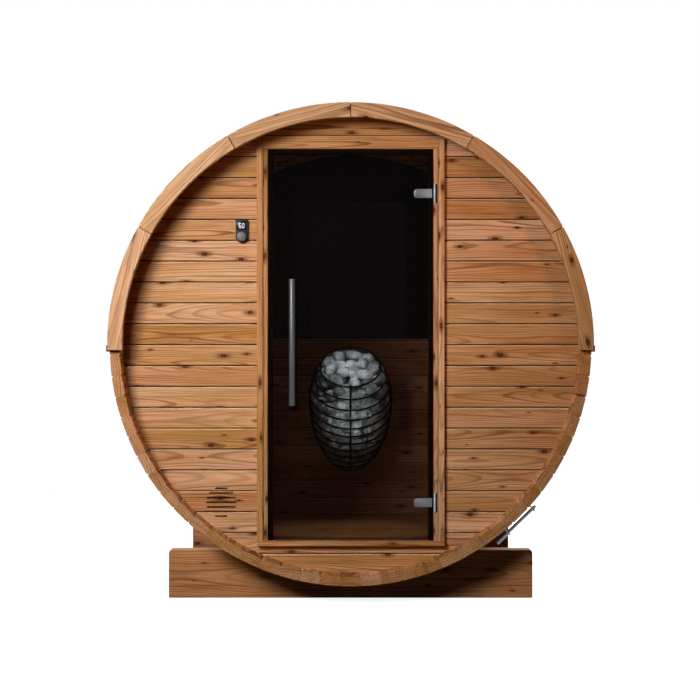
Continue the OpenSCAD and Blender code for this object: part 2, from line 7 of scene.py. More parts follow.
# %% Load the frame
import sys
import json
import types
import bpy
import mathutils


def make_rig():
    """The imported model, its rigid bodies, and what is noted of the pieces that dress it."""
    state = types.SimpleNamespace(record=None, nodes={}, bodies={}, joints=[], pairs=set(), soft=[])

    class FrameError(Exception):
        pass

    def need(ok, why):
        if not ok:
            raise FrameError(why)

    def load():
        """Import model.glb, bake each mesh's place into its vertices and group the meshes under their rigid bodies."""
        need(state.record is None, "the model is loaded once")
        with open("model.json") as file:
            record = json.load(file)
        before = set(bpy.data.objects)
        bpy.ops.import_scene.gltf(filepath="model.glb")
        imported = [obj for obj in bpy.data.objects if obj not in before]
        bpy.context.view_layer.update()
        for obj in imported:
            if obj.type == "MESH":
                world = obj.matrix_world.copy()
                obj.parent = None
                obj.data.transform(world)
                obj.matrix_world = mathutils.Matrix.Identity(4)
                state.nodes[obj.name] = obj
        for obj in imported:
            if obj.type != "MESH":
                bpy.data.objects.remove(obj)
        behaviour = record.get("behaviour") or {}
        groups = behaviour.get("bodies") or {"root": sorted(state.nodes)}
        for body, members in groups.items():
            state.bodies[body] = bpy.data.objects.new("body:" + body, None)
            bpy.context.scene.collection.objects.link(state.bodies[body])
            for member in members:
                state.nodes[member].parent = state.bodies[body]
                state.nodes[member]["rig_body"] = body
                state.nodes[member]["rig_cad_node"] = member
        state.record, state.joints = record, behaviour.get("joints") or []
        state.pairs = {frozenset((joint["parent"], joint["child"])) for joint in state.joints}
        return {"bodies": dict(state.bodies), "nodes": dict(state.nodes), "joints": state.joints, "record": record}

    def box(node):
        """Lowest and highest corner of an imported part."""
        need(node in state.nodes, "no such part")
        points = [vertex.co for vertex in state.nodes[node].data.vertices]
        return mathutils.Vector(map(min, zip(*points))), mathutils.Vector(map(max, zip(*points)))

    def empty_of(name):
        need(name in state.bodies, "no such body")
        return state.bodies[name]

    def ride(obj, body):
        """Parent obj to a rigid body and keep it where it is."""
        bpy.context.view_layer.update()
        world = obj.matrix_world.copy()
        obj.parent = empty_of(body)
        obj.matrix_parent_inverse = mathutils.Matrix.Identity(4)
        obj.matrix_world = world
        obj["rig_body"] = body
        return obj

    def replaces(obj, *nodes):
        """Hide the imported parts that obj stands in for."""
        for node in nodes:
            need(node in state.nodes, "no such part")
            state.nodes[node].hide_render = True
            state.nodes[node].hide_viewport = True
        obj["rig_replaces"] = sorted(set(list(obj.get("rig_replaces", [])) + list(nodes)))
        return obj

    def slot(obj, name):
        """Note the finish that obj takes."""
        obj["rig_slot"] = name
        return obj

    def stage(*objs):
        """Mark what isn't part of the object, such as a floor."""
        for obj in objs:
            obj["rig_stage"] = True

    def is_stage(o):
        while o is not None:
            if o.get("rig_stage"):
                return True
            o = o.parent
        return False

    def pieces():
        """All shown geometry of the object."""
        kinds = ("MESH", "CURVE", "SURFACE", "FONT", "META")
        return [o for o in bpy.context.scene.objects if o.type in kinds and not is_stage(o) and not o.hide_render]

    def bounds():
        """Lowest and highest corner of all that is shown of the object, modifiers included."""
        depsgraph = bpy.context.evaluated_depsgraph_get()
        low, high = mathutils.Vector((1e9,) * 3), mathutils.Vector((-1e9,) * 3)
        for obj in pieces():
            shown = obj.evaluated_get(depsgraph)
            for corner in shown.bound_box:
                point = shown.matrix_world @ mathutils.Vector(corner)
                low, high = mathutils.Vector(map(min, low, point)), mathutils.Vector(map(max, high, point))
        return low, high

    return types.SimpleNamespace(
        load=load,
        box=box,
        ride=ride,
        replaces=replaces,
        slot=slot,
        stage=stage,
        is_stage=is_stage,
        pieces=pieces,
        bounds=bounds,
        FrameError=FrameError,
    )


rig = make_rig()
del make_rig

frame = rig.load()

import json
import math
import random

import bmesh
import bpy
from mathutils import Matrix, Vector

nodes = frame["nodes"]
scene = bpy.context.scene
cad_box = [list(corner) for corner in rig.bounds()]
print(len(nodes), "CAD pieces, box", cad_box)

# %% [markdown]
# Most sizes of the barrel are counted from its axis. The rear wall ends at the axis, under the
# half-moon window, so its top gives the height, and the staves and walls give the lengths.

# %% Measure the barrel
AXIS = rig.box("rear_wall")[1].z
STAVE_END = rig.box("staves_top")[1].y
WALL_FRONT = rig.box("front_wall_left")[0].y
WALL_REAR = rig.box("rear_wall")[1].y
WALL_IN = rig.box("rear_wall")[0].y
JAMB_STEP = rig.box("door_head")[1].x
print("axis", round(AXIS, 4), "stave ends", round(STAVE_END, 4), "wall", round(WALL_FRONT, 4))

# %% [markdown]
# The photo is taken from straight in front with a long lens. The boards of the rear wall show
# at 0.835 of the front ones, which puts the camera 8.5 m away, and the eye level lies a little
# above the middle of the picture, so the lens is shifted instead of the camera tilted.

# %% Camera
lens = bpy.data.cameras.new("photo_camera")
lens.sensor_width = 36
lens.lens = 93.98
lens.shift_y = -0.04
camera = bpy.data.objects.new("photo_camera", lens)
camera.location = (-0.0025, -8.48, 1.183)
camera.rotation_euler = (math.pi / 2, 0, 0)
scene.collection.objects.link(camera)
scene.camera = camera
scene.view_settings.view_transform = "Standard"
print("camera", tuple(camera.location), "lens", lens.lens)

# %% [markdown]
# Shader networks soon become hard to read when each link takes a line. A small class that
# wraps one output socket lets Python's own operators add the Math nodes, so a pattern is
# written as the formula that it is. Every other node comes from its node() method.


# %% Sockets as numbers
class Wire:
    """One output socket of a shader tree. Without a socket it only adds nodes."""

    def __init__(self, tree, socket=None):
        self.tree, self.socket = tree, socket

    def __getitem__(self, name):
        return Wire(self.tree, self.socket.node.outputs[name])

    def node(self, kind, settings=None, sockets=None, out=0):
        """Adds a node, sets it, fills its sockets with numbers or wires, and returns an output."""
        made = self.tree.nodes.new("ShaderNode" + kind)
        for key, value in (settings or {}).items():
            setattr(made, key, value)
        for key, value in (sockets or {}).items():
            if isinstance(value, Wire):
                self.tree.links.new(value.socket, made.inputs[key])
            else:
                made.inputs[key].default_value = value
        return Wire(self.tree, made.outputs[out] if made.outputs else None)

    def math(self, operation, *values):
        return self.node("Math", {"operation": operation}, dict(enumerate(values)))

    def __add__(self, other):
        return self.math("ADD", self, other)

    def __sub__(self, other):
        return self.math("SUBTRACT", self, other)

    def __rsub__(self, other):
        return self.math("SUBTRACT", other, self)

    def __mul__(self, other):
        return self.math("MULTIPLY", self, other)

    def __truediv__(self, other):
        return self.math("DIVIDE", self, other)

    def __rtruediv__(self, other):
        return self.math("DIVIDE", other, self)

    def __gt__(self, other):
        return self.math("GREATER_THAN", self, other)

    def __lt__(self, other):
        return self.math("LESS_THAN", self, other)

    def __abs__(self):
        return self.math("ABSOLUTE", self)

    def floor(self):
        return self.math("FLOOR", self)

    def step(self, low, high):
        """0 below low, 1 above high, and a soft rise between them."""
        sockets = {"Value": self, "From Min": low, "From Max": high}
        return self.node("MapRange", {"interpolation_type": "SMOOTHSTEP"}, sockets)

    def vector(self, x, y, z):
        return self.node("CombineXYZ", None, {0: x, 1: y, 2: z})

    def noise(self, place, detail=2.0, scale=1.0):
        return self.node("TexNoise", None, {"Vector": place, "Scale": scale, "Detail": detail})

    def mix(self, share, first, second, how="MIX"):
        """Two colours mixed by share, which may be a number or a wire."""
        settings = {"data_type": "RGBA", "blend_type": how}
        return self.node("Mix", settings, {0: share, 6: first, 7: second}, out=2)

    __radd__ = __add__
    __rmul__ = __mul__


print("operators", [name for name in vars(Wire) if name.startswith("__r")])

# %% [markdown]
# Colours are easiest to choose as they look on the screen, from 0 to 255. Blender's sockets
# take linear values, so one function turns the first into the second. A second one starts a
# material with its Principled shader and returns the wire that adds its nodes.


# %% Colours and materials
def screen(red, green, blue):
    """A linear colour from the 0 to 255 values that the screen shows."""
    parts = [value / 255 for value in (red, green, blue)]
    return [v / 12.92 if v <= 0.04045 else ((v + 0.055) / 1.055) ** 2.4 for v in parts] + [1.0]


def start_finish(name, **constants):
    """A material with one Principled shader, whose plain sockets are set here."""
    finish = bpy.data.materials.new(name)
    finish.use_nodes = True
    finish.node_tree.nodes.clear()
    sheet = Wire(finish.node_tree)
    plain = {socket.replace("_", " "): value for socket, value in constants.items()}
    shader = sheet.node("BsdfPrincipled", None, plain)
    sheet.node("OutputMaterial", None, {"Surface": shader})
    return finish, sheet, shader.socket.node


def feed(shader, **wires):
    """Links wires to the sockets of a shader."""
    for name, wire in wires.items():
        wire.tree.links.new(wire.socket, shader.inputs[name.replace("_", " ")])


def places(sheet):
    """The three Object coordinates of a surface, with the height counted from the axis."""
    spot = sheet.node("SeparateXYZ", None, {0: sheet.node("TexCoord", out="Object")})
    return spot["X"], spot["Y"], spot["Z"] - AXIS


print("white is", screen(255, 255, 255))
print("wood tan is", [round(part, 3) for part in screen(202, 149, 107)])

# %% [markdown]
# The photo has one soft light at the upper left, nearer than the camera. The shadow of the arch
# on the wall, the shadow beside the door frame and the dark right half of the cradle beam fit a
# panel of 1.6 by 1.1 m about 4 m in front. Its limited spread lets the light fall off to the
# right. A weak warm panel fills in at the right, and a very weak one, hidden from mirrors, hangs
# in the cabin. The panels behind, at the left and above light the sides that the photo doesn't
# show.


# %% Panels of light
def add_lamp(name, kind, place, aim, watts):
    """A lamp at a place, turned towards its aim."""
    lamp = bpy.data.lights.new(name, kind)
    lamp.energy = watts
    holder = bpy.data.objects.new(name, lamp)
    holder.location = place
    holder.rotation_euler = (Vector(aim) - Vector(place)).to_track_quat("-Z", "Y").to_euler()
    scene.collection.objects.link(holder)
    return holder


def soft_panel(name, place, aim, size, watts, spread=180, tint=(1, 1, 1)):
    """A rectangular panel that the camera doesn't see. spread is in degrees."""
    panel = add_lamp(name, "AREA", place, aim, watts)
    panel.data.shape = "RECTANGLE"
    panel.data.size, panel.data.size_y = size
    panel.data.spread = math.radians(spread)
    panel.data.color = tint
    panel.visible_camera = False
    return panel


soft_panel("key_panel", (-1.9, -4.8, 2.55), (-0.5, WALL_FRONT, 1.16), (1.6, 1.1), 22.5, spread=56)
soft_panel("warm_panel", (2.6, -4.6, 1.6), (0.75, WALL_FRONT, 1.75), (0.8, 0.8), 1.4,
           spread=32, tint=(1, 0.5, 0.16))
cabin_panel = soft_panel("cabin_panel", (-0.45, -0.62, AXIS + 0.45), (0, 0.5, AXIS - 0.3),
                         (0.3, 0.3), 0.5)
cabin_panel.visible_glossy = False
soft_panel("rear_panel", (2.9, 4.0, 3.4), (0, WALL_REAR, 1.0), (2.4, 1.6), 260)
soft_panel("left_panel", (-3.6, 2.8, 2.2), (-1.0, 0.2, 1.0), (2.0, 1.4), 110)
soft_panel("top_panel", (0.0, 0.6, 6.0), (0, 0.3, 1.0), (3.0, 2.4), 90)
print("panels", [thing.name for thing in scene.objects if thing.type == "LIGHT"])

# %% [markdown]
# Through the brown glass the photo still shows the heater, brightest at its top, and a strip of
# the floor. A lamp that fills the whole cabin would light the rear boards as well, so narrow
# spots are aimed at the stones and at the floor only.


# %% Spots in the cabin
def narrow_spot(name, place, aim, watts, degrees, blend=0.7):
    """A small lamp with a cone of so many degrees. blend is how soft the cone's rim is."""
    spot = add_lamp(name, "SPOT", place, aim, watts)
    spot.data.spot_size = math.radians(degrees)
    spot.data.spot_blend = blend
    spot.data.shadow_soft_size = 0.08


narrow_spot("heater_spot_high", (0, -0.6, AXIS + 0.5), (0, 0.27, AXIS - 0.166), 98, 15.2,
            blend=0.35)
narrow_spot("heater_spot_low", (0, -0.6, AXIS - 0.28), (0, 0.28, AXIS - 0.37), 48, 15, blend=0.5)
narrow_spot("floor_spot_left", (-0.62, -0.4, 0.85), (-0.05, 0.0, 0.2), 7.5, 44)
narrow_spot("floor_spot_right", (0.62, -0.4, 0.85), (0.05, 0.0, 0.2), 7.5, 44)
print("lamps", len([thing for thing in scene.objects if thing.type == "LIGHT"]))

# %% [markdown]
# The background of the photo is pure white, but a white world would fill every shadow. So the
# world is white only for rays from the camera, mirrors and glass. To all other rays it is a
# faint warm glow.


# %% White world
def seen_rays(sheet):
    """1 for the rays of the camera, mirrors and glass, and 0 for those that carry light."""
    ray = sheet.node("LightPath")
    return ray["Is Camera Ray"] + ray["Is Glossy Ray"] + ray["Is Transmission Ray"]


world = bpy.data.worlds.new("white_studio")
world.use_nodes = True
world.node_tree.nodes.clear()
scene.world = world
sky = Wire(world.node_tree)
faint = sky.node("Background", None, {"Color": (1, 0.76, 0.56, 1), "Strength": 0.005})
white = sky.node("Background", None, {"Color": (1, 1, 1, 1), "Strength": 1.0})
both = sky.node("MixShader", None, {0: seen_rays(sky), 1: faint, 2: white})
sky.node("OutputWorld", None, {"Surface": both})
print("world", world.name, len(world.node_tree.nodes), "nodes")

# %% [markdown]
# The floor works in the same way. The camera sees a white floor that glows a little and still
# takes the shadow of the sauna. To the rays that carry light it is dull, so that it doesn't
# brighten the underside, and far out it fades into the white of the world.

# %% Studio floor
FADE_FROM, FADE_TO = 2.2, 4.5
floor_paint = bpy.data.materials.new("studio_floor")
floor_paint.use_nodes = True
floor_paint.node_tree.nodes.clear()
sheet = Wire(floor_paint.node_tree)
seen = seen_rays(sheet)
matt = sheet.node("BsdfDiffuse", None, {"Color": (0.8, 0.8, 0.8, 1)})
dull = sheet.node("BsdfDiffuse", None, {"Color": (0.04, 0.034, 0.028, 1)})
glow = sheet.node("Emission", None, {"Strength": 0.86})
bright = sheet.node("AddShader", None, {0: matt, 1: glow})
lit = sheet.node("MixShader", None, {0: seen, 1: dull, 2: bright})
x, y, z = places(sheet)
far = sheet.math("SQRT", x * x + y * y).step(FADE_FROM, FADE_TO) * seen
plain = sheet.node("Emission", None, {"Strength": 1.0})
faded = sheet.node("MixShader", None, {0: far, 1: lit, 2: plain})
sheet.node("OutputMaterial", None, {"Surface": faded})

bm = bmesh.new()
bmesh.ops.create_grid(bm, x_segments=1, y_segments=1, size=30)
bmesh.ops.translate(bm, verts=bm.verts, vec=(0, 0, -0.0005))
ground = bpy.data.meshes.new("studio_floor")
bm.to_mesh(ground)
bm.free()
ground.materials.append(floor_paint)
studio_floor = bpy.data.objects.new("studio_floor", ground)
scene.collection.objects.link(studio_floor)
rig.stage(studio_floor)
print("floor", tuple(studio_floor.dimensions))

# %% [markdown]
# A knot is a branch that the saw has cut across. In heat-treated pine it is a brown eye with a
# darker rim, and the wood before and behind it is darker too. A Voronoi pattern scatters one
# knot to a cell, and the cell's random colour gives its size, so no knot is placed by hand.

# %% Knots
KNOT_CELL = 0.19
KNOT_R_MIN, KNOT_R_MORE = 0.0012, 0.0068


def knot_marks(sheet, run, across, row, wide, knots):
    """Masks of the eye, the rim and the halo of knots, and how far they push the rings aside."""
    cell = sheet.vector(run / KNOT_CELL, across / wide + row, 0.0)
    knot = sheet.node("TexVoronoi", {"voronoi_dimensions": "2D"}, {"Vector": cell, "Scale": 1.0})
    size = sheet.node("SeparateColor", None, {0: knot["Color"]})["Red"]
    gap = sheet.node("VectorMath", {"operation": "SUBTRACT"}, {0: cell, 1: knot["Position"]})
    gap = sheet.node("SeparateXYZ", None, {0: gap})
    rough = sheet.noise(sheet.vector(run * 90, across * 90 + row, 7.0)) - 0.5
    beside, above = gap["X"] * KNOT_CELL, gap["Y"] * wide + rough * 0.004
    radius = KNOT_R_MIN + size * KNOT_R_MORE * knots
    core = sheet.math("SQRT", beside * beside / 2.6 + above * above) / radius
    tail = sheet.math("SQRT", beside * beside / 14 + above * above) / radius
    eye = 1 - core.step(0.8, 1.2)
    rim = eye * core.step(0.3, 0.8)
    halo = (1 - tail.step(0.5, 2.4)) * (1 - abs(beside).step(0.015, 0.06))
    nearby = 1 - core.step(0.6, 4.0)
    return eye, rim, halo, above * nearby * 0.8


print("one knot to", KNOT_CELL, "m of board, up to", KNOT_R_MIN + KNOT_R_MORE, "m in radius")

# %% [markdown]
# The dark lines of the wood are the growth rings of a log, cut by the faces of the board. They
# could be drawn as stretched noise, but then the end of a board wouldn't fit its face. So the
# distance of each point from a pith that wanders below the board is worked out, and a line is
# drawn for each year: arches, straight grain and end grain then come out by themselves.

# %% Growth rings
RING = 0.0062


def late_wood(sheet, run, across, into, row, luck, push, ring, drift):
    """Mask of the dark late wood of each year, stronger in some years than in others."""
    wander = sheet.noise(sheet.vector(run * 0.8, row, 0.0), detail=1.0) - 0.5
    sway = sheet.noise(sheet.vector(run * 1.1, row, 20.0), detail=1.0) - 0.5
    ripple = sheet.noise(sheet.vector(run * 6, across * 30 + row, into * 30)) - 0.5
    depth = into + 0.02 + luck["Green"] * 0.06 + wander * 0.11 * drift
    side = across - push + (luck["Blue"] - 0.5) * 0.09 + sway * 0.09 * drift
    pith = sheet.math("SQRT", side * side + depth * depth) + ripple * 0.003
    years = pith / ring + (sheet.noise(sheet.vector(pith * 60, row, 3.0)) - 0.5) * 0.9
    year = years.floor()
    turn = years - year
    vigour = sheet.node("TexWhiteNoise", {"noise_dimensions": "1D"}, {"W": year + row * 7})
    return turn.step(0.45, 0.88) * (1 - turn.step(0.88, 1.0)) * (vigour * vigour * 0.8 + 0.4)


print("rings", RING, "m apart where a finish doesn't say otherwise")

# %% [markdown]
# Heat-treated pine is a warm brown with thin dark lines. One function mixes its pale colour and
# its line colour by the rings, by streaks and by fine fibres, gives each board its own tone, and
# lays the knots over it. The same masks feed the roughness and a faint relief.

# %% Wood
KNOT_HALO, KNOT_EYE, KNOT_RIM = screen(100, 50, 26), screen(104, 54, 28), screen(50, 23, 12)
# A painted highlight for upper chamfers and faces, and a painted shade for lower chamfers.
UPPER_EDGE, LOWER_EDGE = screen(246, 206, 166), screen(70, 35, 16)


def wood(name, grain, pale, line, ring=RING, knots=1.0, tone=0.44, drift=1.0, end=None,
         edge=None, wide=0.14):
    """A wood finish. grain turns x, y, z into metres along the fibres, across the board and
    into it, and the board's number. tone is how much boards differ, drift how much the pith
    wanders and wide how far knots lie apart across the board. Past end, along the fibres, the
    wood is darker end grain. Past edge, across the board, the upper chamfer or face gets a
    painted highlight and the lower chamfer a painted shade."""
    finish, sheet, shader = start_finish(name, Specular_IOR_Level=0.03)
    along, across, into, board = grain(*places(sheet))
    luck = sheet.node("TexWhiteNoise", {"noise_dimensions": "1D"}, {"W": board}, out="Color")
    luck = sheet.node("SeparateColor", None, {0: luck})
    run = along + luck["Red"] * 9
    row = board * 3
    eye, rim, halo, push = knot_marks(sheet, run, across, row, wide, knots)
    late = late_wood(sheet, run, across, into, row, luck, push, ring, drift)

    streak = sheet.noise(sheet.vector(run * 2.5, across * 140 + row, into * 140))
    fibre = sheet.noise(sheet.vector(run * 9, across * 420 + row, into * 420), detail=3.0)
    cloud = sheet.noise(sheet.vector(run * 2.2, across * 18 + row, into * 18), detail=3.0)
    colour = sheet.mix(late * (0.34 + cloud * 0.62), pale, line)
    fine = streak.step(0.4, 0.75) * 0.4 + fibre.step(0.45, 0.75) * 0.25
    colour = sheet.mix(fine, colour, line)
    value = 1 + (luck["Green"] - 0.5) * tone + (cloud - 0.5) * 0.6
    warmth = 0.5 + (luck["Blue"] - 0.5) * 0.008
    tuned = {"Hue": warmth, "Saturation": 1.5 - value * 0.5, "Value": value, "Color": colour}
    colour = sheet.node("HueSaturation", None, tuned)
    # Painted light: past edge the upper side gets a painted highlight and the lower side a painted shade.
    if edge:
        colour = sheet.mix((across > edge) * 0.7, colour, UPPER_EDGE)
        colour = sheet.mix((across < -edge) * 0.85, colour, LOWER_EDGE)
    colour = sheet.mix(halo * 0.7, colour, KNOT_HALO)
    colour = sheet.mix(eye * 0.85, colour, KNOT_EYE)
    colour = sheet.mix(rim * 0.75, colour, KNOT_RIM)
    if end:
        colour = sheet.mix((abs(along) > end) * 0.3, colour, line)

    height = late * 0.5 + streak * 0.3 + fibre * 0.3 - rim * 0.5
    bump = sheet.node("Bump", None, {"Strength": 0.25, "Distance": 0.0008, "Height": height})
    feed(shader, Base_Color=colour, Roughness=0.52 + fibre * 0.16 - late * 0.06, Normal=bump)
    print("wood", name, len(finish.node_tree.nodes), "nodes")
    return finish


print("knot colours", [[round(part, 3) for part in c] for c in (KNOT_HALO, KNOT_EYE, KNOT_RIM)])

# %% [markdown]
# Each piece of timber lies in its own direction. A grain function says which way the fibres
# run and numbers the boards, so that each board gets its own tone, pith and knots. The numbers
# that are added choose which random tone a board takes. At the fascia's right half the number is
# chosen so that its lower board comes out darker, a painted shade for the light falling off to
# the right. The boards beside the door are numbered apart at its two sides, and the whole boards
# above and below it aren't.

# %% Grain of the walls, staves and fascia
BOARD, SEAM_HALF, DOOR_BOARDS = 0.088, 0.0046, 9.0
STAVE_TURN, STAVE_WIDE, PITH_R = math.radians(5), 0.0873, 1.14
FASCIA_LOW, FASCIA_SPAN, FASCIA_R = math.radians(1.2), math.radians(30.4), 0.955


def grain_of_walls(x, y, z):
    count = (z / BOARD).floor()
    beside_door = (x > 0.0) * (1 - (y > 0.0)) * (1 - (abs(count + 0.5) > DOOR_BOARDS))
    number = count + beside_door * 37 + (y > 0.0) * 91
    return x, z - (count + 0.5) * BOARD, abs(y) - abs(WALL_FRONT), number


def grain_of_staves(x, y, z):
    turn = x.math("ARCTAN2", z, x) / STAVE_TURN
    count = (turn + 0.5).floor()
    radius = x.math("SQRT", x * x + z * z)
    return y, (turn - count) * STAVE_WIDE, PITH_R - radius, count


def grain_of_fascia(x, y, z):
    rise = x.math("ARCTAN2", z, abs(x)) + FASCIA_LOW
    count = (rise / FASCIA_SPAN).floor()
    from_middle = rise - (count + 0.5) * FASCIA_SPAN
    radius = x.math("SQRT", x * x + z * z)
    along = radius * x.math("SINE", from_middle)
    across = radius * x.math("COSINE", from_middle) - FASCIA_R
    # The right half's offset gives its lower board a darker tone: painted shade for light falling off to the right.
    number = 70 + count + (x > 0.0) * 73 + (y > 0.0) * 23
    return along, across, abs(y) - STAVE_END, number


print("boards of", BOARD, "m, staves of", STAVE_WIDE, "m")

# %% [markdown]
# The strips of the door frame stand or lie, the cradle beams and the floor boards lie across the
# barrel, and the grip behind the door stands. Their middles are given, so that the pith lies
# behind the middle of each.

# %% Grain of the frame, cradles, floor and grip
HEAD_UP, SILL_DOWN, FLOOR_DOWN = 0.85, 0.84, 0.868
CRADLE_MIDDLE, CRADLE_Y = 0.1, 0.6
GRIP_X, GRIP_Y = -0.245, -0.74


def grain_of_uprights(x, y, z):
    strip = 8 + (abs(x) > JAMB_STEP) * 2 + (x > 0.0) * 6
    return z, abs(x) - JAMB_STEP, y - WALL_FRONT, strip


def grain_of_levels(x, y, z):
    across = z - (z > 0.0) * HEAD_UP + (z < 0.0) * SILL_DOWN
    return x, across, y - WALL_FRONT, (z > 0.0) * 5


def grain_of_cradles(x, y, z):
    return x, z + AXIS - CRADLE_MIDDLE, abs(y) - CRADLE_Y, (y > 0.0) * 13


def grain_of_floor(x, y, z):
    count = (y / BOARD).floor()
    return x, y - (count + 0.5) * BOARD, z + FLOOR_DOWN, count


def grain_of_grip(x, y, z):
    return z, x - GRIP_X, y - GRIP_Y, 0


print("grain functions", [name for name in list(globals()) if name.startswith("grain_of")])

# %% [markdown]
# The fascia and the stave ends are the palest, the walls a little browner, the cradle beams and
# the floor browner still. The strips behind the glass are painted almost black, a painted shade
# for the shadow that they lie in, and the grip is dark brown. The lines are much the same brown
# everywhere, because they are the same late wood.

# %% Wood finishes
# The wall boards take a painted highlight on their upper chamfers and a painted shade on their lower ones. The cradle
# beams take a painted highlight on their top face.
CRADLE_EDGE = 0.1045
wall_wood = wood("wall_wood", grain_of_walls, screen(216, 159, 110), screen(112, 58, 26),
                 edge=BOARD / 2 - SEAM_HALF)
stave_wood = wood("stave_wood", grain_of_staves, screen(238, 172, 114), screen(96, 46, 20),
                  ring=0.0105, tone=0.26, end=STAVE_END - 0.001)
fascia_wood = wood("fascia_wood", grain_of_fascia, screen(236, 184, 139), screen(134, 74, 38),
                   ring=0.0038, tone=0.42, drift=0.06)
upright_wood = wood("upright_wood", grain_of_uprights, screen(216, 158, 108), screen(96, 48, 22),
                    ring=0.005, tone=0.42, wide=0.05)
level_wood = wood("level_wood", grain_of_levels, screen(222, 164, 114), screen(104, 54, 26),
                  ring=0.006)
cradle_wood = wood("cradle_wood", grain_of_cradles, screen(212, 146, 98), screen(98, 46, 22),
                   tone=0.1, edge=CRADLE_EDGE)
floor_wood = wood("floor_wood", grain_of_floor, screen(200, 138, 88), screen(122, 68, 34))
# The door stops are painted almost black: a painted shade for the shadow behind the tinted glass.
stop_wood = wood("stop_wood", grain_of_uprights, screen(44, 26, 16), screen(26, 15, 9), knots=0.0)
grip_wood = wood("grip_wood", grain_of_grip, screen(96, 60, 38), screen(58, 33, 19), knots=0.0)

# %% [markdown]
# Planed timber has no knife-sharp edges: a narrow rounding catches the light. A CAD node keeps
# its own mesh, so a copy is merged, its flat faces are joined, and its sharp edges are bevelled.


# %% Pieces from bmesh
def merged_copy(node):
    """A bmesh of a CAD node with closed seams and whole faces."""
    bm = bmesh.new()
    bm.from_mesh(nodes[node].data)
    bmesh.ops.remove_doubles(bm, verts=bm.verts, dist=2e-5)
    bmesh.ops.dissolve_limit(bm, angle_limit=0.004, verts=bm.verts, edges=bm.edges)
    return bm


def piece(name, bm, finish, body, slot, stands_for=(), smooth=30):
    """Makes an object of a bmesh, at the origin, that rides on a body."""
    mesh = bpy.data.meshes.new(name)
    bm.to_mesh(mesh)
    bm.free()
    mesh.materials.append(finish)
    mesh.polygons.foreach_set("use_smooth", [True] * len(mesh.polygons))
    mesh.set_sharp_from_angle(angle=math.radians(smooth))
    made = bpy.data.objects.new(name, mesh)
    scene.collection.objects.link(made)
    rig.ride(made, body)
    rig.slot(made, slot)
    if stands_for:
        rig.replaces(made, *stands_for)
    return made


def ease(bm, width, sharp=35, segments=2):
    """Rounds the edges of a bmesh that are sharper than an angle."""
    limit = math.radians(sharp)
    edges = [e for e in bm.edges if len(e.link_faces) == 2 and e.calc_face_angle() > limit]
    bmesh.ops.bevel(bm, geom=edges, offset=width, offset_type="OFFSET", affect="EDGES",
                    segments=segments, profile=0.5, material=-1, clamp_overlap=True)
    return bm


def slot_of(node):
    """The material slot that the record gives a CAD node."""
    return next(p["material_slot"] for p in frame["record"]["subparts"] if p["node"] == node)


def eased_piece(node, finish, body, width, sharp=35):
    """A copy of a CAD node with rounded edges, which stands for the node."""
    bm = ease(merged_copy(node), width, sharp)
    made = piece("eased_" + node, bm, finish, body, slot_of(node), [node])
    print(made.name, len(made.data.polygons), "faces")


eased_piece("door_stops", stop_wood, "sauna", 0.0012)
for node in ("door_head", "door_sill"):
    eased_piece(node, level_wood, "sauna", 0.0012)
for node in ("front_cradle", "rear_cradle"):
    eased_piece(node, cradle_wood, "sauna", 0.003)

# %% [markdown]
# A jamb of the door frame is two strips side by side, parted by a narrow slit. The slit could be
# a dark line in the finish, but a real one takes its own shadow from any side. So a thin bar is
# cut out of a copy of the jamb with a Boolean modifier.

# %% Strips of the jambs
STRIP_SLIT, SLIT_IN = (0.003, 0.016, 2.2), 0.0012


def carved(bm, cutter):
    """The bmesh with a cutter bmesh taken out of it. Both are used up."""
    pair = []
    for source in (bm, cutter):
        bmesh.ops.recalc_face_normals(source, faces=source.faces)
        mesh = bpy.data.meshes.new("carving")
        source.to_mesh(mesh)
        source.free()
        pair.append(bpy.data.objects.new("carving", mesh))
        scene.collection.objects.link(pair[-1])
    cut = pair[0].modifiers.new("cut", "BOOLEAN")
    cut.operation, cut.solver, cut.object = "DIFFERENCE", "EXACT", pair[1]
    shape = pair[0].evaluated_get(bpy.context.evaluated_depsgraph_get())
    result = bmesh.new()
    result.from_mesh(shape.data)
    for used in pair:
        bpy.data.objects.remove(used)
    return result


for side, node in ((-1, "door_jamb_left"), (1, "door_jamb_right")):
    slit = bmesh.new()
    bar = bmesh.ops.create_cube(slit, size=1.0)["verts"]
    bmesh.ops.scale(slit, verts=bar, vec=STRIP_SLIT)
    spot = (side * (JAMB_STEP - SLIT_IN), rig.box("door_head")[0].y, AXIS)
    bmesh.ops.translate(slit, verts=bar, vec=spot)
    jamb = ease(carved(merged_copy(node), slit), 0.0008)
    made = piece("strips_" + node, jamb, upright_wood, "sauna", "frame_wood", [node])
    print(made.name, len(made.data.polygons), "faces")

# %% [markdown]
# The end walls are tongue-and-groove boards of 88 mm cover. Their long edges are chamfered, so
# a V runs along each seam with a dark slit at its bottom. The CAD walls are plain discs with
# the door's opening and the vent cut out, so cutting the V grooves into a copy of them keeps
# every edge where it is.

# %% Seams of the boards
SEAM_DEEP, SLIT_HALF, SLIT_DEEP = 0.0034, 0.0012, 0.011
SEAM_UPPER = ((SEAM_HALF, 0.001), (SEAM_HALF, 0.0), (SLIT_HALF, -SEAM_DEEP),
              (SLIT_HALF, -SLIT_DEEP))
SEAM_LOWER = tuple((-up, depth) for up, depth in reversed(SEAM_UPPER))
SEAM_LONG, SEAM_CLEAR = 2.2, 0.006


